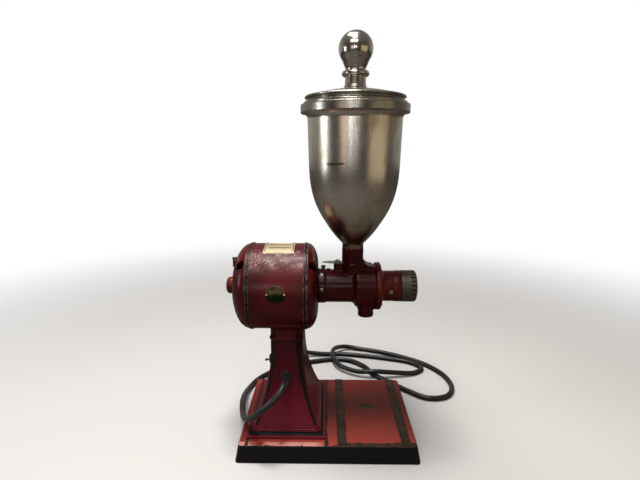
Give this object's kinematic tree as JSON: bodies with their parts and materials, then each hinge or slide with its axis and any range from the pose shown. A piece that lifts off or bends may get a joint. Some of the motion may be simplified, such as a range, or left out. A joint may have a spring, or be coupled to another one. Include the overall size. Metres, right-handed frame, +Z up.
{
  "type": "burr coffee grinder",
  "caption": "Shop counter coffee mill: cast base and column, enclosed motor, flat burr head with adjusting ring, swing feed gate and nickel hopper with lid.",
  "frame": {"origin": "centre of the base's underside, on the surface that the mill stands on", "axes": "+X along the motor shaft towards the adjusting ring, +Y to the back, +Z up"},
  "size_m": [0.5523, 0.5053, 0.8414],
  "materials": {
    "red_enamel": "worn dark red gloss enamel with black trim",
    "black_rubber": "dull black rubber",
    "steel": "plain machined steel",
    "dark_steel": "blackened steel",
    "burr_steel": "hardened burr steel",
    "bronze": "sintered bronze",
    "copper": "enamelled copper wire",
    "brass_plate": "etched brass plate, worn",
    "old_brass": "tarnished nickelled brass",
    "old_nickel": "dull nickel plate",
    "hopper_nickel": "old polished nickel plate",
    "bakelite": "black moulded plastic"
  },
  "bodies": {
    "mill_frame": {"base_casting": "red_enamel", "base_pad": "black_rubber", "bottom_cover": "steel", "bottom_screws": "steel", "column_casting": "red_enamel", "column_bolts": "steel", "motor_bolts": "steel", "motor_housing": "red_enamel", "end_bell_left": "red_enamel", "end_bell_right": "red_enamel", "tie_rods": "steel", "tie_rod_nuts": "dark_steel", "bush_left": "bronze", "bush_right": "bronze", "bearing_cap": "red_enamel", "stator_core": "steel", "stator_winding": "copper", "nameplate": "brass_plate", "badge": "brass_plate", "plate_pins": "brass_plate", "terminal_block": "bakelite", "cord_tail": "black_rubber", "cord_gland": "black_rubber", "switch_body": "bakelite", "motor_oil_cup": "old_brass", "neck_oiler": "old_brass", "neck_plug": "red_enamel", "mill_body": "red_enamel", "neck_bush": "bronze", "neck_screws": "old_nickel", "fixed_burr": "burr_steel", "burr_screws": "steel", "chamber_cover": "red_enamel", "cover_screws": "dark_steel", "lock_screw": "old_nickel", "gate_pivot": "dark_steel", "hopper": "hopper_nickel", "hopper_rim": "hopper_nickel", "power_cord": "black_rubber", "plug_body": "black_rubber", "plug_pins": "old_nickel"},
    "thrust": {"thrust_ball": "steel", "thrust_plunger": "steel"},
    "rotor": {"rotor_core": "steel", "cooling_fan": "steel", "drive_shaft": "steel", "feed_worm": "steel", "rotating_burr": "burr_steel", "burr_nut": "steel"},
    "adjuster": {"adjusting_ring": "old_brass"},
    "gate": {"feed_gate": "old_nickel"},
    "lid": {"hopper_lid": "hopper_nickel", "lid_knob": "hopper_nickel", "knob_stud": "steel"},
    "switch_arm": {"switch_lever": "bakelite"},
    "oil_lid": {"motor_oil_lid": "old_brass"}
  },
  "joints": [
    {"name": "burr_advance", "type": "slide", "parent": "mill_frame", "child": "thrust", "axis": [1, 0, 0], "range_m": [-0.001, 0.0005]},
    {"name": "rotor_spin", "type": "hinge", "parent": "thrust", "child": "rotor", "pos_m": [0, 0, 0.331], "axis": [1, 0, 0], "continuous": true},
    {"name": "ring_turn", "type": "hinge", "parent": "thrust", "child": "adjuster", "pos_m": [0, 0, 0.331], "axis": [1, 0, 0], "range_deg": [-240.5, 120.5]},
    {"name": "gate_swing", "type": "hinge", "parent": "mill_frame", "child": "gate", "pos_m": [0.02, 0, 0.383], "axis": [0, 0, 1], "range_deg": [0, 70]},
    {"name": "lid_lift", "type": "slide", "parent": "mill_frame", "child": "lid", "axis": [0, 0, 1], "range_m": [0, 0.12]},
    {"name": "switch_throw", "type": "hinge", "parent": "mill_frame", "child": "switch_arm", "pos_m": [-0.1235, 0, 0.16], "axis": [0, 1, 0], "range_deg": [0, 26]},
    {"name": "oil_lid_open", "type": "hinge", "parent": "mill_frame", "child": "oil_lid", "pos_m": [-0.2032, 0, 0.392], "axis": [0, -1, 0], "range_deg": [0, 100]}
  ],
  "couplings": [
    {"joint": "ring_turn", "follows": "burr_advance", "rad_per_m": 4188.8}
  ]
}
